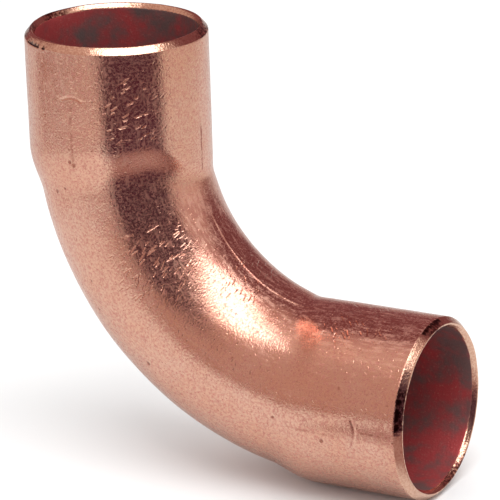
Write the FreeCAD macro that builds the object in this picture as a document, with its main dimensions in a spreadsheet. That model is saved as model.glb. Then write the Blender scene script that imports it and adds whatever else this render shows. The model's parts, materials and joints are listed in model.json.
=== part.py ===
import FreeCAD, Part
import os

import Sketcher

# Ninety-degree long-radius pipe elbow for capillary soldering, bent and formed from one length of
# copper tube. The bend lies in the XZ plane. The origin is the centre of the tube stop in the upper
# socket: +Z runs out of that socket's mouth, and +X is the way the side socket opens.

SIZES = (
    ("socket_bore", 15.12, "inside diameter of a socket, for 15 mm tube with a capillary gap"),
    ("wall", 1.0, "wall thickness"),
    ("socket_depth", 10.6, "mouth to tube stop"),
    ("centre_to_face", 33.0, "crossing of the two socket axes to each mouth"),
    ("bend_radius", 23.25, "radius of the bend's centre line"),
    ("bend_outside", 15.9, "outside diameter of the tube round the bend"),
    ("shoulder_start", 2.1, "degrees of bend already turned at the tube stop"),
    ("shoulder_sweep", 14.4, "degrees of bend that the shoulder takes"),
    ("bevel_length", 0.65, "outer bevel of a mouth, along the axis"),
    ("bevel_width", 0.55, "outer bevel of a mouth, across the wall"),
    ("lead_in_length", 0.45, "inner lead-in of a mouth, along the axis"),
    ("lead_in_width", 0.3, "inner lead-in of a mouth, across the wall"),
)
SHOULDER_STEPS = 4
HALF_BEND = 45.0

SOCKET_OUTER = "(Sizes.socket_bore / 2 + Sizes.wall)"
SOCKET_INNER = "(Sizes.socket_bore / 2)"
BEND_OUTER = "(Sizes.bend_outside / 2)"
BEND_INNER = "(Sizes.bend_outside / 2 - Sizes.wall)"
BEND_CENTRE_Z = "(Sizes.bend_radius + Sizes.socket_depth - Sizes.centre_to_face)"


def write_sizes(document):
    """The driving dimensions, in millimetres and degrees, one to a row."""
    sheet = document.addObject("Spreadsheet::Sheet", "Sizes")
    for row, (alias, value, meaning) in enumerate(SIZES, start=1):
        sheet.set(f"A{row}", alias)
        sheet.set(f"B{row}", str(value))
        sheet.set(f"C{row}", meaning)
        sheet.setAlias(f"B{row}", alias)
    document.recompute()
    return sheet


def new_sketch(body, name, role):
    """A sketch on one of the body's own origin planes."""
    sketch = body.newObject("Sketcher::SketchObject", name)
    plane = next(item for item in body.Origin.OriginFeatures if item.Role == role)
    sketch.AttachmentSupport = [(plane, "")]
    sketch.MapMode = "FlatFace"
    return sketch


def drive(sketch, name, constraint, expression):
    """Add a named constraint whose value comes from the sheet."""
    index = sketch.addConstraint(constraint)
    sketch.renameConstraint(index, name)
    sketch.setExpression(f"Constraints.{name}", expression)


def draw_ring(sketch, centre_x, outer, inner):
    """Two circles with one centre on the sketch's horizontal axis: the tube's section."""
    start = FreeCAD.Vector(centre_x, 0, 0)
    normal = FreeCAD.Vector(0, 0, 1)
    outside = sketch.addGeometry(Part.Circle(start, normal, 8.0), False)
    inside = sketch.addGeometry(Part.Circle(start, normal, 7.0), False)
    sketch.addConstraint(Sketcher.Constraint("Coincident", inside, 3, outside, 3))
    sketch.addConstraint(Sketcher.Constraint("PointOnObject", outside, 3, -1))
    drive(sketch, "outer", Sketcher.Constraint("Radius", outside, 8.0), outer)
    drive(sketch, "inner", Sketcher.Constraint("Radius", inside, 7.0), inner)
    return outside


def stop_section(body):
    """The socket's section at its tube stop, across the upper socket's axis."""
    sketch = new_sketch(body, "stop_section", "XY_Plane")
    ring = draw_ring(sketch, 0.0, SOCKET_OUTER, SOCKET_INNER)
    sketch.addConstraint(Sketcher.Constraint("PointOnObject", ring, 3, -2))
    return sketch


def bend_section(body, name, angle, outer, inner, radius):
    """The tube's section where the bend has turned by an angle, drawn from the bend's centre."""
    sketch = new_sketch(body, name, "XY_Plane")
    rotation = FreeCAD.Rotation(FreeCAD.Vector(0, -1, 0), HALF_BEND)
    sketch.AttachmentOffset = FreeCAD.Placement(FreeCAD.Vector(radius, 0, 0), rotation)
    sketch.setExpression("AttachmentOffset.Base.x", "Sizes.bend_radius")
    sketch.setExpression("AttachmentOffset.Base.z", BEND_CENTRE_Z)
    sketch.setExpression("AttachmentOffset.Rotation.Angle", angle)
    ring = draw_ring(sketch, -radius, outer, inner)
    reach = Sketcher.Constraint("DistanceX", ring, 3, -1, 1, radius)
    drive(sketch, "reach", reach, "Sizes.bend_radius")
    return sketch


def bend(body, radius):
    """The curved middle: the tube's section turned about the bend's axis, both ways from its middle."""
    section = bend_section(body, "bend_section", str(HALF_BEND), BEND_OUTER, BEND_INNER, radius)
    feature = body.newObject("PartDesign::Revolution", "bend")
    feature.Profile = section
    feature.ReferenceAxis = (section, ["V_Axis"])
    feature.Midplane = True
    feature.Angle = HALF_BEND
    feature.setExpression("Angle", "90 - 2 * (Sizes.shoulder_start + Sizes.shoulder_sweep)")
    return feature


def ease(share):
    """Smooth step from 0 to 1, level at both ends."""
    return share * share * (3 - 2 * share)


def shoulder(body, radius):
    """The sunk step between socket and bend, lofted through sections that follow the bend."""
    sections = []
    for step in range(1, SHOULDER_STEPS + 1):
        share = step / SHOULDER_STEPS
        angle = f"Sizes.shoulder_start + Sizes.shoulder_sweep * {share}"
        outer = f"{SOCKET_OUTER} + ({BEND_OUTER} - {SOCKET_OUTER}) * {ease(share)}"
        inner = f"{SOCKET_INNER} + ({BEND_INNER} - {SOCKET_INNER}) * {ease(share)}"
        sections.append(bend_section(body, f"shoulder_section_{step}", angle, outer, inner, radius))
    feature = body.newObject("PartDesign::AdditiveLoft", "shoulder")
    feature.Profile = stop_section(body)
    feature.Sections = sections
    return feature


def socket_wall(body, size):
    """Half section of the socket's wall, with the outer bevel and the inner lead-in of its mouth."""
    sketch = new_sketch(body, "socket_wall", "XZ_Plane")
    inner = size.socket_bore / 2
    outer = inner + size.wall
    depth = size.socket_depth
    corners = (
        (inner, 0),
        (outer, 0),
        (outer, depth - size.bevel_length),
        (outer - size.bevel_width, depth),
        (inner + size.lead_in_width, depth),
        (inner, depth - size.lead_in_length),
    )
    points = [FreeCAD.Vector(x, y, 0) for x, y in corners]
    for start, end in zip(points, points[1:] + points[:1]):
        sketch.addGeometry(Part.LineSegment(start, end), False)
    stop, outside, bevel, face, lead_in, bore = range(len(points))
    for edge in range(len(points)):
        following = (edge + 1) % len(points)
        sketch.addConstraint(Sketcher.Constraint("Coincident", edge, 2, following, 1))
    sketch.addConstraint(Sketcher.Constraint("PointOnObject", stop, 1, -1))
    sketch.addConstraint(Sketcher.Constraint("Horizontal", stop))
    sketch.addConstraint(Sketcher.Constraint("Vertical", outside))
    sketch.addConstraint(Sketcher.Constraint("Horizontal", face))
    sketch.addConstraint(Sketcher.Constraint("Vertical", bore))
    across = (
        ("bore_radius", (-1, 1, stop, 1), inner, "Sizes.socket_bore / 2"),
        ("wall", (stop, 1, stop, 2), size.wall, "Sizes.wall"),
        ("bevel_width", (bevel, 2, bevel, 1), size.bevel_width, "Sizes.bevel_width"),
        ("lead_in_width", (lead_in, 2, lead_in, 1), size.lead_in_width, "Sizes.lead_in_width"),
    )
    along = (
        ("depth", (-1, 1, face, 1), depth, "Sizes.socket_depth"),
        ("bevel_length", (bevel, 1, bevel, 2), size.bevel_length, "Sizes.bevel_length"),
        ("lead_in_length", (lead_in, 2, lead_in, 1), size.lead_in_length, "Sizes.lead_in_length"),
    )
    for kind, dimensions in (("DistanceX", across), ("DistanceY", along)):
        for name, ends, value, expression in dimensions:
            drive(sketch, name, Sketcher.Constraint(kind, *ends, value), expression)
    return sketch


def socket(body, size):
    """The upper socket: its wall turned about its own axis."""
    wall = socket_wall(body, size)
    feature = body.newObject("PartDesign::Revolution", "socket")
    feature.Profile = wall
    feature.ReferenceAxis = (wall, ["V_Axis"])
    feature.Angle = 360.0
    return feature


def mirror_ends(body, features, middle):
    """The side socket and its shoulder: the upper ones mirrored across the middle of the bend."""
    feature = body.newObject("PartDesign::Mirrored", "side_end")
    feature.Originals = features
    feature.MirrorPlane = (middle, [""])
    body.Tip = feature
    return feature


def elbow_body(document, size):
    body = document.addObject("PartDesign::Body", "elbow_body")
    body.Label = "elbow_body"
    curve = bend(body, size.bend_radius)
    document.recompute()
    step = shoulder(body, size.bend_radius)
    document.recompute()
    cup = socket(body, size)
    document.recompute()
    mirror_ends(body, [step, cup], curve.Profile[0])
    return body


def check(document, bodies):
    """Stop before anything is written if a feature failed or a body isn't one sound solid."""
    for item in document.Objects:
        if "Invalid" in item.State or "Error" in item.State:
            raise RuntimeError(f"{item.Name} did not compute: {item.State}")
    for body in bodies:
        shape = body.Shape
        if shape.isNull() or not shape.isValid() or len(shape.Solids) != 1:
            raise RuntimeError(f"{body.Label} is not one valid solid")


def main():
    document = FreeCAD.newDocument("pipe_elbow")
    size = write_sizes(document)
    bodies = [elbow_body(document, size)]
    document.recompute()
    check(document, bodies)
    os.makedirs("parts", exist_ok=True)
    for body in bodies:
        body.Shape.exportStep(f"parts/{body.Label}.step")
        box = body.Shape.optimalBoundingBox(False, False)
        print(f"{body.Label}: {body.Shape.Volume:.1f} mm3, {len(body.Shape.Faces)} faces")
        print(f"  x {box.XMin:.2f} to {box.XMax:.2f}, y {box.YMin:.2f} to {box.YMax:.2f}, "
              f"z {box.ZMin:.2f} to {box.ZMax:.2f}")


main()
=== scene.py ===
import json
import math

import bpy
import numpy as np
from mathutils import Matrix, Vector


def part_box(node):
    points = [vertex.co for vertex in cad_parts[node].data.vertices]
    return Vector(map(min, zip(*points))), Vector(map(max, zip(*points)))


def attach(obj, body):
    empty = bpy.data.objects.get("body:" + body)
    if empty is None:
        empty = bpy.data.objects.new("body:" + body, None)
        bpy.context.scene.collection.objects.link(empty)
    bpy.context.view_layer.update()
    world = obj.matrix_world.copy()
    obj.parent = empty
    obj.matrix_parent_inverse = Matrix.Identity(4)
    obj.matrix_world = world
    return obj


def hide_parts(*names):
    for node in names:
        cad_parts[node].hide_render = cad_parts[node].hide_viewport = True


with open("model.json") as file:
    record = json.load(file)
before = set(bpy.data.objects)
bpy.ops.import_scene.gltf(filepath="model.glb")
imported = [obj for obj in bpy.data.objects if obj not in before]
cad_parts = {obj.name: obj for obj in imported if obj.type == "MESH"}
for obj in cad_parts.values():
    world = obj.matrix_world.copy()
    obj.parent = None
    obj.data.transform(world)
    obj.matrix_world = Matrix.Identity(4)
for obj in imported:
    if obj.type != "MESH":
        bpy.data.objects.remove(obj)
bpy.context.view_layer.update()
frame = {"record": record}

# The copper elbow as one closed mesh swept along the tube's centre line, with a worn copper
# material, a pale floor, soft studio light and the camera. Lengths are in metres, and angles round
# the tube are in degrees: 0 faces the centre of the bend, 90 is +Y, 180 the back and 270 is -Y.

MM = 0.001

# Sizes that the frame gives.
low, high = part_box("elbow_body")
mounts = {mount["name"]: mount for mount in frame["record"]["mounts"]}
SOCKET_RADIUS = high.y
BORE_RADIUS = mounts["upper_socket"]["dims"]["r_mm"] * MM
CENTRE_TO_FACE = high.z - mounts["side_socket"]["pos_m"][2]
WALL = SOCKET_RADIUS - BORE_RADIUS

# Sizes of the bend and of the mouths, as in the CAD part.
BEND_RADIUS = 23.25 * MM
BEND_OUTER = 7.95 * MM
BEVEL_LENGTH = 0.65 * MM
BEVEL_WIDTH = 0.55 * MM
LEAD_IN_LENGTH = 0.45 * MM
LEAD_IN_WIDTH = 0.3 * MM

# The shoulders, from each mouth: where they start and end at the sides, how much sooner at the
# throat and later at the back, and how much later about one angle near the throat.
SHOULDER_START, SHOULDER_START_LEAN = 10.05 * MM, 1.1 * MM
SHOULDER_END, SHOULDER_END_LEAN = 14.05 * MM, 1.85 * MM
SHOULDER_LATE, SHOULDER_LATE_ANGLE, SHOULDER_LATE_SPREAD = 3.6 * MM, 18.0, 44.0
THROAT_FULLNESS, THROAT_FULLNESS_LENGTH = 0.12 * MM, 4 * MM

# The centre line's straight ends, arc and whole length, and the angles of the mesh's seam, of the
# neutral line that faces the camera, and of the throat.
STRAIGHT = CENTRE_TO_FACE - BEND_RADIUS
ARC = math.pi / 2 * BEND_RADIUS
TOTAL = ARC + 2 * STRAIGHT
SEAM, NEUTRAL, THROAT = 90.0, 270.0, 360.0

# Mesh spacing, coarse and near fine marks: along the tube in metres, and round it in degrees.
ROW_STEP, ROW_STEP_FINE, INNER_ROW_STEP = 0.26 * MM, 0.07 * MM, 0.6 * MM
COLUMN_STEP, COLUMN_STEP_FINE = 2.3, 0.45
# The rim's rounded corners, and the strip of wall on either side that its own rings cover.
RIM_ROUNDING, RIM_ROUNDING_STEPS, RIM_MARGIN = 0.12 * MM, 5, 0.25 * MM
# The outside's share of the bake layer's width, and the gap round each island.
BAKE_OUTSIDE, BAKE_MARGIN = 0.68, 0.008

# Marks on the outside: two tool marks on the neutral line, and the die line along the throat.
UPPER_TOOL_MARK = 5.19 * MM
SIDE_TOOL_MARK = TOTAL - 5.0 * MM
TOOL_MARK_HALF_WIDTH = 1.15 * MM
TOOL_MARK_SAG = 0.42 * MM
TOOL_MARK_DEPTH = 0.11 * MM
TOOL_MARK_LINE = 0.10 * MM
DIE_LINE_START = 19.0 * MM
DIE_LINE_END = 43.5 * MM
DIE_LINE_ASIDE, DIE_LINE_DRIFT = 3.0, 5.0
DIE_LINE_HEIGHT = 0.075 * MM
DIE_LINE_WIDTH = 0.13 * MM
CHIP_DEPTH = 0.13 * MM

# The outside's gentle waves, and how far it is set back to keep them near the elbow's own size.
SWELL, RIPPLE = 0.012 * MM, 0.003 * MM
RELIEF_SETBACK = 0.010 * MM
# Waves of the bore, of the rims' faces, and of the cut across each mouth.
BORE_SWELL, RIM_SWELL, CUT_SWELL = 0.02 * MM, 0.011 * MM, 0.028 * MM

# A faint line across the outside, left by the bending die: how far from each mouth, and between
# which angles.
DIE_EDGE = 14.3 * MM
DIE_EDGE_START, DIE_EDGE_END, DIE_EDGE_FADE = 236.0, 296.0, 12.0
DIE_EDGE_HEIGHT, DIE_EDGE_WIDTH = 0.022 * MM, 0.14 * MM

# Chips in the mouths' bevels: the end of the tube (mm), first and last angle, how far across the
# rim they lie from the bevel's outer edge (mm), and their half width (mm).
CHIPS = (
    (0.0, 224.0, 252.0, 0.02, 0.12), (TOTAL / MM, 342.0, 368.0, 0.25, 0.26),
    (TOTAL / MM, 272.0, 303.0, 0.10, 0.08),
)
# Painted shade on lengths of the rims: end of the tube (mm), angle, radius (mm).
SHADED_RIM_LENGTHS = (
    (0.0, 170.0, 2.0), (0.0, 207.0, 1.8), (0.0, 382.0, 2.6), (TOTAL / MM, 288.0, 2.6),
    (TOTAL / MM, 160.0, 3.0), (TOTAL / MM, 355.0, 1.8),
)

# Pits in the skin: distance from the upper mouth (mm), angle round the tube, radius (mm).
PITS = (
    (30.2, 246.0, 0.24), (21.9, 249.0, 0.16), (24.2, 238.0, 0.16), (13.6, 256.0, 0.14),
    (13.9, 247.0, 0.16), (55.3, 267.5, 0.12), (48.0, 261.0, 0.16), (25.8, 343.0, 0.12),
    (11.3, 269.0, 0.27), (11.0, 266.5, 0.15), (42.8, 268.0, 0.14),
)
# Where the skin is scratched most: distance from the upper mouth (mm), angle, radius (mm).
HANDLED = (
    (6.3, 307.0, 3.3), (23.4, 299.0, 4.2), (49.0, 348.0, 4.0), (32.0, 351.0, 4.0),
)
LEAST_HANDLED = 0.07
# Scratches: size of the cells that hold one each, length and width (mm), slant and its spread
# (radians), and the share of cells with a scratch.
LONG_SCRATCHES, LONG_LAYERS = (2.0, 0.72, 0.11, 0.40, 0.7, 0.75), 6
SHORT_SCRATCHES = (0.8, 0.28, 0.085, 0.35, 1.3, 0.55)
# How deep the marks in the skin are, and how high its grain stands (mm).
LONG_DEPTH, SHORT_DEPTH, PIT_DEPTH = 0.048, 0.013, 0.05
FINE_HEIGHT, BROAD_HEIGHT = 0.017, 0.004
TURNED_HEIGHT, RIM_FINE_HEIGHT, BORE_FINE_HEIGHT = 0.020, 0.022, 0.03
# Roughness of the polished skin, and what dust and drawn lines add to it; the rims and the bore.
SKIN_ROUGHNESS, DUST_ROUGHNESS, DRAWN_ROUGHNESS = (0.12, 0.18), 0.16, 0.16
RIM_ROUGHNESS, BORE_ROUGHNESS = 0.19, 0.42
DUST_METALLIC, BORE_METALLIC = -0.14, 0.55
# Thin brown streaks along the tube: angle, start, end and width (mm), strength.
STREAKS = (
    (269.0, 5.2, 11.8, 0.28, 0.45), (361.5, 8.4, 15.6, 0.21, 1.0),
    (270.5, 51.6, 55.2, 0.16, 0.6), (266.0, 44.0, 50.0, 0.20, 0.4),
)

# Colours of the skin, of the rims and of the bore.
PINK, BROWN, ORANGE = (0.765, 0.472, 0.357, 1), (0.74, 0.42, 0.30, 1), (0.80, 0.42, 0.29, 1)
SAND, SPECK, STAIN = (0.50, 0.155, 0.14, 1), (0.36, 0.12, 0.08, 1), (0.30, 0.085, 0.055, 1)
DRAWN_DARK, DRAWN_PALE = (0.50, 0.20, 0.17, 1), (0.98, 0.62, 0.50, 1)
SCORED = (0.80, 0.45, 0.34, 1)
BARE_PALE, BARE_DARK = (0.84, 0.56, 0.42, 1), (0.66, 0.36, 0.26, 1)
# The chips take the second colour on the next line: painted shade, near-black in their dents.
# The rims' dark lengths take the first colour on the next line: painted shade.
RIM_SHADE, CHIP_SHADE = (0.16, 0.055, 0.045, 1), (0.05, 0.012, 0.010, 1)
OXIDE_BROWN, OXIDE_RED = (0.203, 0.137, 0.132, 1), (0.54, 0.082, 0.086, 1)
OXIDE_FLECK = (0.66, 0.30, 0.25, 1)

# The studio. Azimuths run from -Y towards +X and are in degrees, as elevations are. The dark card
# stands on an arc of them, lower at its left corner, with its foot flat on the floor, and a low brown
# strip stands to its left. The near, far and right tones are the floor's as the copper mirrors it,
# painted shade that is darker than the floor itself and darkest to the right.
CARD_LEFT, CARD_RIGHT = 3.0, 84.0
CARD_TOP, CARD_CORNER, CARD_CORNER_DROP = 38.0, 38.0, 15.0
CARD_AWAY = 0.26
FOOT_START, FOOT_BROWN, FOOT_NEAR, FOOT_DARK = 0.0205, 0.029, 0.042, 0.064
STRIP_LEFT, STRIP_AWAY, STRIP_HEIGHT = -85.0, 0.13, 0.012
CARD_PIECES, STRIP_PIECES, CARD_LIFT = 14, 8, 0.4 * MM
CARD_DARK, CARD_BROWN = (0.060, 0.016, 0.036, 1), (0.29, 0.12, 0.09, 1)
FOOT_COLOURS = (0.72, 0.72, 0.71, 1), (0.30, 0.19, 0.18, 1), (0.060, 0.018, 0.036, 1)
FLOOR_REACH, FLOOR_COLOUR = 1.5, (0.86, 0.86, 0.86, 1)
FLOOR_NEAR, FLOOR_FAR = (0.70, 0.70, 0.69, 1), (0.63, 0.62, 0.61, 1)
FLOOR_RIGHT = (0.54, 0.50, 0.46, 1)
WORLD_COLOUR, WALL_COLOUR = (0.97, 0.97, 0.97, 1), (0.61, 0.435, 0.385, 1)
SOFTBOX_AZIMUTH, SOFTBOX_ELEVATION, SOFTBOX_AWAY = 52.0, 64.5, 0.40
SOFTBOX_WIDTH, SOFTBOX_DEPTH, SOFTBOX_WATTS = 0.40, 0.24, 1.12

# The camera: where it stands and what it aims at, from the elbow's middle, and its lens (mm).
CAMERA_AZIMUTH, CAMERA_ELEVATION, CAMERA_ROLL, CAMERA_AWAY = 29.21, 18.79, -1.77, 0.347
CAMERA_AIM = Vector((0.91, 0.61, 0.27)) * MM
CAMERA_LENS, CAMERA_SENSOR = 268.66, 36.0

# Softly edged areas of the mirrored walls: azimuth, elevation, inner and outer radius, colour.
WALLS = (
    (112.0, 8.0, 18.0, 45.0, (0.76, 0.62, 0.57)),
    (166.0, 33.0, 31.0, 42.0, (0.21, 0.072, 0.082)),
    (-132.0, 34.0, 31.0, 39.0, (0.24, 0.082, 0.090)),
    (-70.0, 64.0, 12.0, 24.0, (0.76, 0.58, 0.52)),
)


def smooth(value):
    """Smooth step of a value from 0 to 1."""
    value = np.clip(value, 0, 1)
    return value * value * (3 - 2 * value)


def bump(offset, width):
    """Bell curve, 1 in the middle."""
    return np.exp(-(offset / width) ** 2)


def nearer_mouth(distance):
    """Distance from the nearer of the two mouths."""
    return np.minimum(distance, TOTAL - distance)


def waves(points, seed, longest, shortest, count):
    """Sum of gentle waves through space, about -1 to 1, the same on every run."""
    draw = np.random.RandomState(seed)
    total = np.zeros(len(points))
    for _ in range(count):
        direction = draw.normal(size=3)
        direction /= np.linalg.norm(direction)
        length = draw.uniform(shortest, longest)
        phase = draw.uniform(0, 2 * math.pi)
        total += np.sin(points @ direction * (2 * math.pi / length) + phase)
    return total / math.sqrt(count)


# ---- the elbow's mesh


def tube_radius(distance, angle, socket, bend):
    """Radius from the centre line. Each socket runs on straight into the bend, and its shoulder
    brings it in to the bent tube, square to the socket's own axis."""
    from_mouth = nearer_mouth(distance)
    turn = np.maximum(from_mouth - STRAIGHT, 0) / BEND_RADIUS
    inward, aside = np.cos(np.radians(angle)), np.sin(np.radians(angle))
    drift = BEND_RADIUS * (1 - np.cos(turn))
    slope = inward * np.cos(turn)
    square = slope ** 2 + aside ** 2
    root = np.sqrt(np.maximum((drift * slope) ** 2 - square * (drift ** 2 - socket ** 2), 0))
    straight_wall = np.maximum((root - drift * slope) / square, bend)
    depth = np.minimum(from_mouth, STRAIGHT) + (BEND_RADIUS - bend * inward) * np.sin(turn)
    late = (angle - SHOULDER_LATE_ANGLE + 180) % 360 - 180
    late = SHOULDER_LATE * np.exp(-(late / SHOULDER_LATE_SPREAD) ** 4)
    start = SHOULDER_START - SHOULDER_START_LEAN * inward + late
    end = SHOULDER_END - SHOULDER_END_LEAN * inward + late
    share = smooth((depth - start) / (end - start))
    full = THROAT_FULLNESS * late / SHOULDER_LATE * bump(depth - start, THROAT_FULLNESS_LENGTH)
    full *= share
    return bend + full + (straight_wall - bend) * (1 - share)


def place(distance, radius, angle):
    """Points at a distance along the centre line, a radius from it and an angle round it."""
    turn = np.clip((distance - STRAIGHT) / BEND_RADIUS, 0, math.pi / 2)
    before = np.minimum(distance - STRAIGHT, 0)
    after = np.maximum(distance - STRAIGHT - ARC, 0)
    inward = radius * np.cos(np.radians(angle))
    x = BEND_RADIUS * (1 - np.cos(turn)) + after + inward * np.cos(turn)
    y = radius * np.sin(np.radians(angle))
    z = high.z - STRAIGHT - BEND_RADIUS * np.sin(turn) - before + inward * np.sin(turn)
    return np.stack([x, y, z], axis=-1)


def graded(start, end, coarse, fine, zones):
    """Values from start to end, closer together near the middles given in zones."""
    values = [start]
    while values[-1] < end:
        nearness = max(float(bump(values[-1] - middle, reach)) for middle, reach in zones)
        values.append(values[-1] + coarse + (fine - coarse) * nearness)
    values = np.array(values)
    return start + (values - start) * (end - start) / (values[-1] - start)


def round_corners(corners, cut, steps):
    """A profile with each corner but the first and last cut back by a length and rounded."""
    points = [corners[0]]
    for before, corner, after in zip(corners, corners[1:], corners[2:]):
        toward = (before - corner) / np.linalg.norm(before - corner)
        away = (after - corner) / np.linalg.norm(after - corner)
        start = corner + toward * min(cut, np.linalg.norm(before - corner) * 0.45)
        end = corner + away * min(cut, np.linalg.norm(after - corner) * 0.45)
        for share in np.linspace(0, 1, steps):
            near_corner = (1 - share) ** 2 * start + 2 * share * (1 - share) * corner
            points.append(near_corner + share ** 2 * end)
    points.append(corners[-1])
    return np.array(points)


RIM_LENGTH = math.hypot(BEVEL_LENGTH, BEVEL_WIDTH) + (WALL - BEVEL_WIDTH - LEAD_IN_WIDTH)
RIM_LENGTH += math.hypot(LEAD_IN_LENGTH, LEAD_IN_WIDTH)


def mouth_profile():
    """(offset from the mouth, radius) round the rim, from the outside to the inside."""
    bevel_start = np.array([BEVEL_LENGTH, SOCKET_RADIUS])
    bevel_end = np.array([0.0, SOCKET_RADIUS - BEVEL_WIDTH])
    lead_in_start = np.array([0.0, BORE_RADIUS + LEAD_IN_WIDTH])
    lead_in_end = np.array([LEAD_IN_LENGTH, BORE_RADIUS])
    outside = bevel_start + [RIM_MARGIN, 0.0]
    inside = lead_in_end + [RIM_MARGIN, 0.0]
    corners = [outside, bevel_start, bevel_end, lead_in_start, lead_in_end, inside]
    return round_corners(corners, RIM_ROUNDING, RIM_ROUNDING_STEPS)


def tool_mark(distance, angle, middle, toward_mouth):
    """A shallow curved dent on the neutral line, bulging towards its mouth."""
    across = SOCKET_RADIUS * np.radians(angle - NEUTRAL)
    share = across / TOOL_MARK_HALF_WIDTH
    along = (distance - middle) * toward_mouth - TOOL_MARK_SAG * (1 - share ** 2)
    taper = smooth((1.15 - np.abs(share)) / 0.35)
    groove = bump(along, TOOL_MARK_LINE)
    lip = 0.45 * bump(along - 1.7 * TOOL_MARK_LINE, TOOL_MARK_LINE)
    return TOOL_MARK_DEPTH * taper * (lip - groove)


def die_line(distance, angle):
    """The thin raised line that the bending die leaves along the throat."""
    share = (distance - DIE_LINE_START) / (DIE_LINE_END - DIE_LINE_START)
    middle = THROAT - DIE_LINE_ASIDE - DIE_LINE_DRIFT * smooth(share * 1.6)
    across = BEND_OUTER * np.radians(angle - middle)
    fade = smooth(share * 5) * smooth((1 - share) * 6) * (0.6 + 0.5 * share)
    return DIE_LINE_HEIGHT * fade * bump(across, DIE_LINE_WIDTH * (0.75 + 0.55 * share))


def relief(points, distance, angle):
    """How far the outside stands off its ideal radius."""
    swell = SWELL * waves(points, 3, 16 * MM, 6 * MM, 12)
    ripple = RIPPLE * waves(points, 5, 4 * MM, 1.6 * MM, 24)
    upper = tool_mark(distance, angle, UPPER_TOOL_MARK, -1)
    side = tool_mark(distance, angle, SIDE_TOOL_MARK, 1)
    from_mouth = nearer_mouth(distance)
    edge = DIE_EDGE_HEIGHT * bump(from_mouth - DIE_EDGE, DIE_EDGE_WIDTH)
    edge *= smooth((angle - DIE_EDGE_START) / DIE_EDGE_FADE)
    edge *= smooth((DIE_EDGE_END - angle) / DIE_EDGE_FADE)
    return swell + ripple + upper + side + die_line(distance, angle) - edge - RELIEF_SETBACK


def chip(rim, distance, angle):
    """0 to 1: where the outer edges of the mouths' bevels are chipped."""
    broken = 0.62 + 0.5 * np.sin(angle * 2.1) * np.sin(angle * 0.83 + 1.0) + 0.3 * np.sin(angle * 4.7)
    chipped = 0 * angle
    for end, first, last, middle, half_width in CHIPS:
        near = bump(rim - middle * MM, half_width * MM) * (np.abs(distance - end * MM) < TOTAL / 2)
        share = (angle - first) / (last - first)
        reach = smooth(share * 12) * smooth((1 - share) * 8)
        chipped = np.maximum(chipped, near * reach)
    return chipped * np.clip(broken, 0, 1)


def make_rows():
    """Distance, radius and place across the rim of each ring of vertices, once round the wall. A
    radius of 0 stands for the wall's own."""
    mouth = mouth_profile()
    steps = np.linalg.norm(np.diff(mouth, axis=0), axis=1)
    round_rim = np.concatenate([[0.0], np.cumsum(steps)])
    round_rim = round_rim / round_rim[-1] * (RIM_LENGTH + 2 * RIM_MARGIN) - RIM_MARGIN
    fine = [(UPPER_TOOL_MARK, 0.9 * MM), (SIDE_TOOL_MARK, 0.9 * MM)]
    start, end = mouth[0][0], TOTAL - mouth[0][0]
    outside = graded(start, end, ROW_STEP, ROW_STEP_FINE, fine)[1:-1]
    inner_end = mouth[-1][0]
    inside = np.linspace(TOTAL - inner_end, inner_end, int((TOTAL - 2 * inner_end) / INNER_ROW_STEP))
    inside = inside[1:-1]
    distance = np.concatenate([outside, TOTAL - mouth[:, 0], inside, mouth[::-1, 0]])
    radius = np.concatenate([0 * outside, mouth[:, 1], 0 * inside, mouth[::-1, 1]])
    outer_rim = BEVEL_LENGTH - nearer_mouth(outside)
    inner_rim = RIM_LENGTH - LEAD_IN_LENGTH + nearer_mouth(inside)
    rim = np.concatenate([outer_rim, round_rim, inner_rim, round_rim[::-1]])
    return distance, radius, rim


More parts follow.
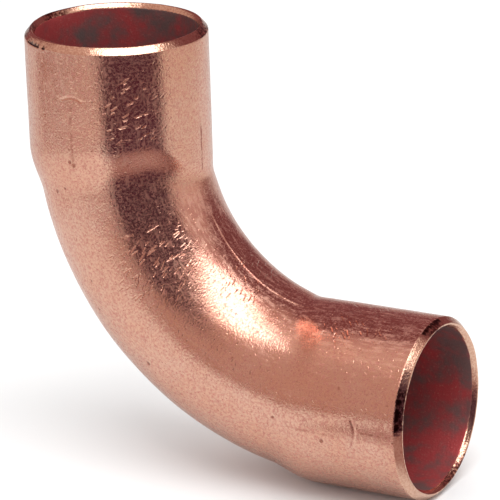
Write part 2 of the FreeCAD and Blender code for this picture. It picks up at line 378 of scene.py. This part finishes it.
def elbow_mesh():
    row_distance, row_radius, row_rim = make_rows()
    fine = [(NEUTRAL, 8.0), (THROAT - 6.0, 7.0), (CHIPS[0][1], 9.0), (CHIPS[0][2], 9.0)]
    columns = graded(SEAM, SEAM + 360.0, COLUMN_STEP, COLUMN_STEP_FINE, fine)[:-1]
    rows_n, columns_n = len(row_distance), len(columns)
    distance = np.repeat(row_distance, columns_n)
    radius = np.repeat(row_radius, columns_n)
    rim = np.repeat(row_rim, columns_n)
    angle = np.tile(columns, rows_n)

    outer_wall = tube_radius(distance, angle, SOCKET_RADIUS, BEND_OUTER)
    inner_wall = tube_radius(distance, angle, BORE_RADIUS, BEND_OUTER - WALL)
    wall = np.where(rim < RIM_LENGTH / 2, outer_wall, inner_wall)
    radius = np.where(radius > 0, radius, wall)
    ideal = place(distance, radius, angle)
    outer_part = smooth(0.5 - rim / (0.4 * MM))
    inner_part = smooth((rim - RIM_LENGTH) / (0.5 * MM))
    edge_part = (1 - outer_part) * (1 - inner_part)
    chipped = chip(rim, distance, angle)
    stand_off = outer_part * relief(ideal, distance, angle) - CHIP_DEPTH * chipped
    stand_off += inner_part * BORE_SWELL * waves(ideal, 11, 9 * MM, 3 * MM, 14)
    stand_off += edge_part * RIM_SWELL * waves(ideal, 13, 3 * MM, 0.8 * MM, 14)
    uneven = CUT_SWELL * (1 + waves(ideal, 17, 9 * MM, 1.2 * MM, 14)) * edge_part
    trimmed = distance + np.where(distance < TOTAL / 2, uneven, -uneven)
    points = place(trimmed, radius + stand_off, angle)

    index = np.arange(rows_n * columns_n).reshape(rows_n, columns_n)
    next_row = np.roll(index, -1, axis=0)
    corners = [index, next_row, np.roll(next_row, -1, axis=1), np.roll(index, -1, axis=1)]
    faces = np.stack(corners, axis=-1).reshape(-1, 4)
    mesh = bpy.data.meshes.new("copper_elbow")
    mesh.from_pydata(points.tolist(), [], faces.tolist())
    mesh.shade_smooth()

    straight = [radius * np.cos(np.radians(angle)), radius * np.sin(np.radians(angle)), distance]
    add_attribute(mesh, "straight", "FLOAT_VECTOR", np.stack(straight, axis=-1) / MM)
    add_attribute(mesh, "rim", "FLOAT", rim / MM)
    add_attribute(mesh, "chipped", "FLOAT", chipped)

    wrapped = np.append(columns, SEAM + 360.0)
    along = np.append(row_distance, row_distance[0]) / MM
    add_uv(mesh, "skin", np.tile(around(wrapped), (rows_n, 1)), np.stack([along[:-1], along[1:]]))
    add_bake_uv(mesh, row_distance, row_radius, row_rim, (wrapped - SEAM) / 360.0)
    return mesh


def around(angle):
    """Millimetres round the socket's outside from the seam."""
    return (angle - SEAM) / 360.0 * 2 * math.pi * SOCKET_RADIUS / MM


def add_attribute(mesh, name, kind, values):
    layer = mesh.attributes.new(name, kind, "POINT")
    field = "vector" if kind == "FLOAT_VECTOR" else "value"
    layer.data.foreach_set(field, np.asarray(values, np.float32).ravel())


def add_bake_uv(mesh, distance, radius, rim, turned):
    """A UV layer with two islands side by side, the outside and the inside, parted at the rims."""
    wall = np.where(rim < RIM_LENGTH / 2, SOCKET_RADIUS, BORE_RADIUS)
    radius = np.where(radius > 0, radius, wall)
    steps = np.hypot(np.roll(distance, -1) - distance, np.roll(radius, -1) - radius)
    outside = (rim + np.roll(rim, -1)) / 2 < RIM_LENGTH / 2
    first = np.flatnonzero(outside & ~np.roll(outside, 1))[0]
    steps, outside = np.roll(steps, -first), np.roll(outside, -first)
    start = np.concatenate([[0.0], np.cumsum(steps)[:-1]])
    start = np.where(outside, start, start - steps[outside].sum())
    length = np.where(outside, steps[outside].sum(), steps[~outside].sum())
    v = np.roll(np.stack([start, start + steps]) / length, first, axis=1)
    outside = np.roll(outside, first)[:, None]
    u = np.where(outside, BAKE_MARGIN + BAKE_OUTSIDE * turned,
                 BAKE_OUTSIDE + 3 * BAKE_MARGIN + (1 - BAKE_OUTSIDE - 4 * BAKE_MARGIN) * turned)
    add_uv(mesh, "OFBake", u, BAKE_MARGIN + (1 - 2 * BAKE_MARGIN) * v)


def add_uv(mesh, name, u, v):
    """A UV layer from a u for each row and column edge, and a v for each row's start and end."""
    rows_n, columns_n = u.shape[0], u.shape[1] - 1
    row, column = np.divmod(np.arange(rows_n * columns_n), columns_n)
    us = np.stack([u[row, column], u[row, column], u[row, column + 1], u[row, column + 1]], axis=-1)
    vs = np.stack([v[0, row], v[1, row], v[1, row], v[0, row]], axis=-1)
    layer = mesh.uv_layers.new(name=name)
    layer.data.foreach_set("uv", np.stack([us, vs], axis=-1).astype(np.float32).ravel())


# ---- shader nodes


class Nodes:
    """A short way to add shader nodes and join them. A value is a number, a tuple or a socket."""

    def __init__(self, tree):
        self.tree = tree
        tree.nodes.clear()

    def put(self, socket, value):
        if isinstance(value, bpy.types.NodeSocket):
            self.tree.links.new(value, socket)
        elif value is not None:
            socket.default_value = value

    def add(self, kind, inputs=(), output=0, **settings):
        node = self.tree.nodes.new("ShaderNode" + kind)
        for name, value in settings.items():
            setattr(node, name, value)
        pairs = inputs.items() if isinstance(inputs, dict) else enumerate(inputs)
        for key, value in pairs:
            self.put(node.inputs[key], value)
        return node.outputs[output] if node.outputs else None

    def math(self, operation, first, second=0.0, third=0.0, clamp=False):
        inputs = (first, second, third)
        return self.add("Math", inputs, operation=operation, use_clamp=clamp)

    def vector(self, operation, first, second=None):
        return self.add("VectorMath", (first, second), operation=operation)

    def fit(self, value, start, end, to_start=0.0, to_end=1.0, smooth_step=True):
        kind = "SMOOTHSTEP" if smooth_step else "LINEAR"
        inputs = (value, start, end, to_start, to_end)
        return self.add("MapRange", inputs, interpolation_type=kind)

    def mix(self, share, first, second, blend="MIX"):
        inputs = {0: share, 6: first, 7: second}
        return self.add("Mix", inputs, output=2, data_type="RGBA", blend_type=blend)

    def blend(self, share, first, second):
        return self.add("Mix", {0: share, 2: first, 3: second}, data_type="FLOAT")

    def noise(self, where, scale, detail=2.0, roughness=0.5):
        inputs = {"Vector": where, "Scale": scale, "Detail": detail, "Roughness": roughness}
        return self.add("TexNoise", inputs)

    def separate(self, vector):
        outputs = self.add("SeparateXYZ", (vector,)).node.outputs
        return outputs[0], outputs[1], outputs[2]


def new_material(name):
    """A material and the nodes to fill it with."""
    material = bpy.data.materials.new(name)
    material.use_nodes = True
    return material, Nodes(material.node_tree)


def scratches(n, skin, layer, cell, length, width, slant, spread, share):
    """Short bowed scratches, at most one to a cell, as a mask. Sizes are in mm, angles in radians."""
    shifted = n.vector("ADD", skin, (cell * 3.7 * layer, cell * 9.1 + 5.3 * layer, 0.0))
    sockets = n.add("TexVoronoi", {"Vector": shifted, "Scale": 1.0 / cell},
                    voronoi_dimensions="2D").node.outputs
    local = n.vector("SUBTRACT", shifted, sockets["Position"])
    pick, size, bow = n.separate(sockets["Color"])
    aside = n.math("SUBTRACT", n.math("FRACT", n.math("MULTIPLY", bow, 7.0)), 0.5)
    turn = n.math("MULTIPLY_ADD", aside, spread, slant)
    turned = n.add("VectorRotate", {"Vector": local, "Angle": turn}, rotation_type="Z_AXIS")
    x, y, _ = n.separate(turned)
    curve = n.math("MULTIPLY", n.math("SUBTRACT", bow, 0.5), 0.3 / length)
    y = n.math("MULTIPLY_ADD", n.math("MULTIPLY", x, x), curve, y)
    reach = n.math("MULTIPLY_ADD", size, length * 0.7, length * 0.3)
    ends = n.fit(n.math("DIVIDE", n.math("ABSOLUTE", x), reach), 0.4, 1.0, 1.0, 0.0)
    line = n.fit(n.math("ABSOLUTE", y), 0.0, width, 1.0, 0.0)
    kept = n.math("LESS_THAN", pick, share)
    return n.math("MULTIPLY", n.math("MULTIPLY", ends, line), kept)


def near_place(n, skin, distance, angle, radius, wobble):
    """A round mask about a place on the skin, with a ragged edge."""
    offset = n.vector("SUBTRACT", skin, (around(angle), distance, 0.0))
    length = n.add("VectorMath", (offset,), output=1, operation="LENGTH")
    ragged = n.math("MULTIPLY_ADD", n.math("SUBTRACT", wobble, 0.5), radius * 2.0, length)
    return n.fit(ragged, radius * 0.5, radius * 1.2, 1.0, 0.0)


def streak(n, skin, angle, start, end, width, wobble, broken):
    """A thin broken line along the tube, as a mask."""
    across, along, _ = n.separate(skin)
    aside = n.math("SUBTRACT", n.math("MULTIPLY_ADD", wobble, width * 1.5, across),
                   around(angle) + width * 0.75)
    line = n.fit(n.math("ABSOLUTE", aside), 0.0, width, 1.0, 0.0)
    first = n.fit(along, start, start + 0.8)
    last = n.fit(along, end - 0.8, end, 1.0, 0.0)
    return n.math("MULTIPLY", n.math("MULTIPLY", line, broken), n.math("MULTIPLY", first, last))


def copper_material():
    material, n = new_material("worn_copper")
    spot = n.add("Attribute", attribute_name="straight", output=1)
    rim = n.add("Attribute", attribute_name="rim", output=2)
    chipped = n.add("Attribute", attribute_name="chipped", output=2)
    skin = n.add("UVMap", uv_map="skin")
    across, along, _ = n.separate(skin)
    fine = n.noise(spot, 5.0, 2.0, 0.6)
    broad = n.noise(spot, 0.9, 3.0, 0.6)

    # Outside: pink copper with browner patches, a sandy grain, drawn lines along the throat, pits,
    # specks and brown streaks.
    patches = n.fit(n.noise(spot, 0.16, 3.0, 0.55), 0.35, 0.68)
    colour = n.mix(patches, PINK, BROWN)
    colour = n.mix(n.math("MULTIPLY", n.fit(broad, 0.35, 0.7), 0.3), colour, ORANGE)
    sand = n.fit(n.noise(spot, 4.4, 3.0, 0.72), 0.41, 0.65)
    colour = n.mix(n.math("MULTIPLY", sand, 0.62), colour, SAND)
    inward, _, _ = n.separate(spot)
    drawn = n.noise(n.vector("MULTIPLY", spot, (2.6, 2.6, 0.6)), 1.0, 3.0, 0.68)
    drawn_colour = n.mix(n.fit(drawn, 0.42, 0.62), DRAWN_DARK, DRAWN_PALE)
    throat = n.math("MULTIPLY", n.fit(inward, 6.2, 7.6), n.fit(along, 15.0, 20.0))
    colour = n.mix(n.math("MULTIPLY", throat, 0.5), colour, drawn_colour)
    specks = n.fit(n.noise(spot, 2.3, 2.0, 0.5), 0.69, 0.76)
    colour = n.mix(n.math("MULTIPLY", specks, 0.6), colour, SPECK)
    broken = n.fit(n.noise(spot, 1.6, 3.0, 0.7), 0.38, 0.55)
    stain = 0.0
    for angle, start, end, width, strength in STREAKS:
        mark = streak(n, skin, angle, start, end, width, broad, broken)
        stain = n.math("MULTIPLY_ADD", mark, strength, stain)
    pitted = 0.0
    for distance, angle, radius in PITS:
        pitted = n.math("MAXIMUM", pitted, near_place(n, skin, distance, angle, radius, broad))
    stain = n.math("MAXIMUM", stain, n.math("MULTIPLY", pitted, 0.75), clamp=True)
    colour = n.mix(stain, colour, STAIN)
    roughness = n.fit(n.noise(spot, 0.5, 4.0, 0.6), 0.3, 0.7, *SKIN_ROUGHNESS, False)

    # Relief of the outside, in millimetres.
    handled = LEAST_HANDLED
    for distance, angle, radius in HANDLED:
        handled = n.math("ADD", handled, near_place(n, skin, distance, angle, radius, broad))
    long_ones = 0.0
    for layer in range(LONG_LAYERS):
        more = scratches(n, skin, layer + 1, *LONG_SCRATCHES)
        long_ones = n.math("MAXIMUM", long_ones, more)
    short_ones = scratches(n, skin, 1, *SHORT_SCRATCHES)
    long_ones = n.math("MULTIPLY", long_ones, n.math("MINIMUM", handled, 1.0))
    gouges = n.math("MULTIPLY", long_ones, LONG_DEPTH)
    gouges = n.math("MULTIPLY_ADD", short_ones, SHORT_DEPTH, gouges)
    gouges = n.math("MULTIPLY_ADD", pitted, PIT_DEPTH, gouges)
    scored = n.math("MAXIMUM", long_ones, n.math("MULTIPLY", short_ones, 0.7))
    colour = n.mix(scored, colour, SCORED)
    dusty = n.math("MULTIPLY", sand, n.math("SUBTRACT", 1.0, scored))
    roughness = n.math("MULTIPLY_ADD", dusty, DUST_ROUGHNESS, roughness)
    roughness = n.math("MULTIPLY_ADD", n.fit(drawn, 0.50, 0.66), DRAWN_ROUGHNESS, roughness)
    metallic = n.math("MULTIPLY_ADD", dusty, DUST_METALLIC, 1.0)
    height = n.math("MULTIPLY_ADD", fine, FINE_HEIGHT, n.math("MULTIPLY", broad, BROAD_HEIGHT))
    height = n.math("SUBTRACT", height, gouges)

    # Rims: brighter bare metal with turned lines and nicks; painted shade on some lengths, in chips.
    lines = n.add("CombineXYZ", (n.math("MULTIPLY", across, 0.35), n.math("MULTIPLY", rim, 7.0), along))
    turned = n.noise(lines, 1.0, 3.0, 0.6)
    ragged = n.math("MULTIPLY_ADD", n.math("SUBTRACT", n.noise(spot, 2.0, 3.0, 0.6), 0.5), 0.30, rim)
    bare = n.fit(ragged, -0.03, 0.03)
    rim_colour = n.mix(n.fit(fine, 0.35, 0.7), BARE_PALE, BARE_DARK)
    nicks = n.math("MULTIPLY", fine, RIM_FINE_HEIGHT)
    rim_height = n.math("MULTIPLY_ADD", turned, TURNED_HEIGHT, nicks)
    # Painted shade: some lengths of the rims are painted dark, speckled, for the dark they mirror.
    rim_shade = 0.0
    for distance, angle, radius in SHADED_RIM_LENGTHS:
        rim_shade = n.math("MAXIMUM", rim_shade, near_place(n, skin, distance, angle, radius, broad))
    speckled_rim_shade = n.math("MULTIPLY", rim_shade, n.fit(n.noise(spot, 3.4, 3.0, 0.7), 0.62, 0.45))
    rim_colour = n.mix(speckled_rim_shade, rim_colour, RIM_SHADE)
    colour = n.mix(bare, colour, rim_colour)
    height = n.blend(bare, height, rim_height)
    roughness = n.blend(bare, roughness, RIM_ROUGHNESS)
    # The chips are painted near-black: painted shade in their dents.
    colour = n.mix(n.fit(chipped, 0.15, 0.5), colour, CHIP_SHADE)

    # Inside: dull crimson and brown oxide.
    rust = n.noise(spot, 0.30, 4.0, 0.6)
    rust = n.fit(n.math("MULTIPLY_ADD", inward, -0.012, rust), 0.38, 0.66)
    oxide = n.mix(rust, OXIDE_BROWN, OXIDE_RED)
    flecks = n.math("MULTIPLY", n.fit(fine, 0.56, 0.75), n.math("MULTIPLY_ADD", rust, 0.35, 0.1))
    oxide = n.mix(flecks, oxide, OXIDE_FLECK)
    # The bore is darker towards the upper mouth and lighter towards the side mouth.
    oxide = n.mix(1.0, oxide, n.fit(along, 8.0, 48.0, 0.87, 1.09), "MULTIPLY")
    inner = n.fit(ragged, RIM_LENGTH / MM - 0.02, RIM_LENGTH / MM + 0.04)
    colour = n.mix(inner, colour, oxide)
    height = n.blend(inner, height, n.math("MULTIPLY", fine, BORE_FINE_HEIGHT))
    roughness = n.blend(inner, roughness, BORE_ROUGHNESS)
    metallic = n.blend(bare, metallic, 1.0)
    metallic = n.blend(inner, metallic, BORE_METALLIC)

    normal = n.add("Bump", {"Strength": 1.0, "Distance": MM, "Height": height})
    shader = n.add("BsdfPrincipled", {"Base Color": colour, "Metallic": metallic,
                                      "Roughness": roughness, "Normal": normal})
    n.add("OutputMaterial", {"Surface": shader})
    return material


# ---- the studio


def direction(azimuth, elevation):
    """Unit vector at an azimuth, from -Y towards +X, and an elevation, both in degrees."""
    a, e = math.radians(azimuth), math.radians(elevation)
    return Vector((math.sin(a) * math.cos(e), -math.cos(a) * math.cos(e), math.sin(e)))


def card_material(name, colour):
    material, n = new_material(name)
    inputs = {"Base Color": colour, "Roughness": 0.9}
    n.add("OutputMaterial", {"Surface": n.add("BsdfPrincipled", inputs)})
    return material


def quad(name, corners, material):
    """A flat four-cornered piece of the studio."""
    mesh = bpy.data.meshes.new(name)
    mesh.from_pydata([tuple(corner) for corner in corners], [], [(0, 1, 2, 3)])
    mesh.materials.append(material)
    piece = bpy.data.objects.new(name, mesh)
    bpy.context.collection.objects.link(piece)
    return piece


def hide_from_all_but_reflections(piece):
    """Only what mirrors a card may see it."""
    piece.visible_camera = False
    piece.visible_diffuse = False
    piece.visible_shadow = False
    piece.visible_transmission = False


def make_floor(middle):
    """A pale floor, with painted shade where the copper mirrors it, darkest to the right."""
    sides = ((-1, -1), (1, -1), (1, 1), (-1, 1))
    corners = [(x * FLOOR_REACH, y * FLOOR_REACH, low.z) for x, y in sides]
    material, n = new_material("pale_floor")
    spot = n.add("NewGeometry")
    away = n.add("VectorMath", (spot, tuple(middle)), output=1, operation="DISTANCE")
    # Painted shade: the floor as the copper mirrors it, darker than the floor itself, most to the
    # right.
    mirror = n.mix(n.fit(away, 0.045, 0.11), FLOOR_NEAR, FLOOR_FAR)
    x, _, _ = n.separate(spot)
    mirror = n.mix(n.fit(x, 0.05, 0.10), mirror, FLOOR_RIGHT)
    mirrored = n.add("LightPath", output=3)
    colour = n.mix(mirrored, FLOOR_COLOUR, mirror)
    n.add("OutputMaterial", {"Surface": n.add("BsdfDiffuse", {"Color": colour})})
    quad("floor", corners, material)


def make_cards(middle):
    """What the front of the copper mirrors: a dark card with its foot, and a low brown strip."""
    floor = low.z + CARD_LIFT
    black = card_material("dark_card", CARD_DARK)
    brown = card_material("brown_card", CARD_BROWN)
    fading, n = new_material("dark_foot")
    away = n.add("VectorMath", (n.add("NewGeometry"), tuple(middle.xy) + (floor,)), output=1,
                 operation="DISTANCE")
    fade = n.mix(n.fit(away, FOOT_START, FOOT_BROWN), *FOOT_COLOURS[:2])
    fade = n.mix(n.fit(away, FOOT_NEAR, FOOT_DARK), fade, FOOT_COLOURS[2])
    n.add("OutputMaterial", {"Surface": n.add("BsdfDiffuse", {"Color": fade})})

    def at(azimuth, distance, height):
        point = middle + direction(azimuth, 0.0) * distance
        return (point.x, point.y, height)

    def top(azimuth):
        fall = max(0.0, CARD_CORNER - azimuth) / (CARD_CORNER - CARD_LEFT)
        elevation = CARD_TOP - CARD_CORNER_DROP * fall ** 2
        return middle.z + CARD_AWAY * math.tan(math.radians(elevation))

    azimuths = np.linspace(CARD_LEFT, CARD_RIGHT, CARD_PIECES + 1)
    for a, b in zip(azimuths, azimuths[1:]):
        wall = [at(a, CARD_AWAY, floor), at(b, CARD_AWAY, floor),
                at(b, CARD_AWAY, top(b)), at(a, CARD_AWAY, top(a))]
        foot = [at(a, FOOT_START, floor), at(b, FOOT_START, floor),
                at(b, CARD_AWAY, floor), at(a, CARD_AWAY, floor)]
        hide_from_all_but_reflections(quad("dark_card", wall, black))
        hide_from_all_but_reflections(quad("dark_foot", foot, fading))
    azimuths = np.linspace(STRIP_LEFT, CARD_LEFT, STRIP_PIECES + 1)
    for a, b in zip(azimuths, azimuths[1:]):
        strip = [at(a, STRIP_AWAY, floor), at(b, STRIP_AWAY, floor),
                 at(b, STRIP_AWAY, floor + STRIP_HEIGHT), at(a, STRIP_AWAY, floor + STRIP_HEIGHT)]
        hide_from_all_but_reflections(quad("brown_strip", strip, brown))


def make_softbox(middle):
    """The main light, high in front and to the right."""
    light = bpy.data.lights.new("softbox", "AREA")
    light.shape = "RECTANGLE"
    light.size, light.size_y = SOFTBOX_WIDTH, SOFTBOX_DEPTH
    light.energy = SOFTBOX_WATTS
    lamp = bpy.data.objects.new("softbox", light)
    toward = direction(SOFTBOX_AZIMUTH, SOFTBOX_ELEVATION)
    lamp.location = middle + toward * SOFTBOX_AWAY
    lamp.rotation_mode = "QUATERNION"
    lamp.rotation_quaternion = toward.to_track_quat("Z", "Y")
    bpy.context.collection.objects.link(lamp)


def make_world():
    """Pale all round, except in reflections, where the walls are warm and darker behind."""
    world = bpy.data.worlds.new("studio")
    bpy.context.scene.world = world
    world.use_nodes = True
    n = Nodes(world.node_tree)
    toward = n.vector("NORMALIZE", n.add("TexCoord", output=0))
    colour = WALL_COLOUR
    for azimuth, elevation, inside, outside, tint in WALLS:
        middle = tuple(direction(azimuth, elevation))
        dot = n.add("VectorMath", (toward, middle), output=1, operation="DOT_PRODUCT")
        share = n.fit(dot, math.cos(math.radians(outside)), math.cos(math.radians(inside)))
        colour = n.mix(share, colour, (*tint, 1))
    mirrored = n.add("LightPath", output=3)
    colour = n.mix(mirrored, WORLD_COLOUR, colour)
    n.add("OutputWorld", {"Surface": n.add("Background", {"Color": colour, "Strength": 1.0})})


def make_camera(middle):
    """The camera at the photograph's viewing angle."""
    toward = direction(CAMERA_AZIMUTH, CAMERA_ELEVATION)
    data = bpy.data.cameras.new("camera")
    data.sensor_width = CAMERA_SENSOR
    data.lens = CAMERA_LENS
    data.clip_start, data.clip_end = 0.01, 10.0
    camera = bpy.data.objects.new("camera", data)
    roll = Matrix.Rotation(math.radians(CAMERA_ROLL), 3, "Z")
    turn = toward.to_track_quat("Z", "Y").to_matrix() @ roll
    stand = middle + CAMERA_AIM + toward * CAMERA_AWAY
    camera.matrix_world = Matrix.Translation(stand) @ turn.to_4x4()
    bpy.context.collection.objects.link(camera)
    bpy.context.scene.camera = camera


elbow = bpy.data.objects.new("copper_elbow", elbow_mesh())
elbow.data.materials.append(copper_material())
bpy.context.collection.objects.link(elbow)
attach(elbow, "root")
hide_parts("elbow_body")

middle = (low + high) / 2
make_floor(middle)
make_cards(middle)
make_softbox(middle)
make_world()
make_camera(middle)
bpy.context.scene.view_settings.view_transform = "Standard"
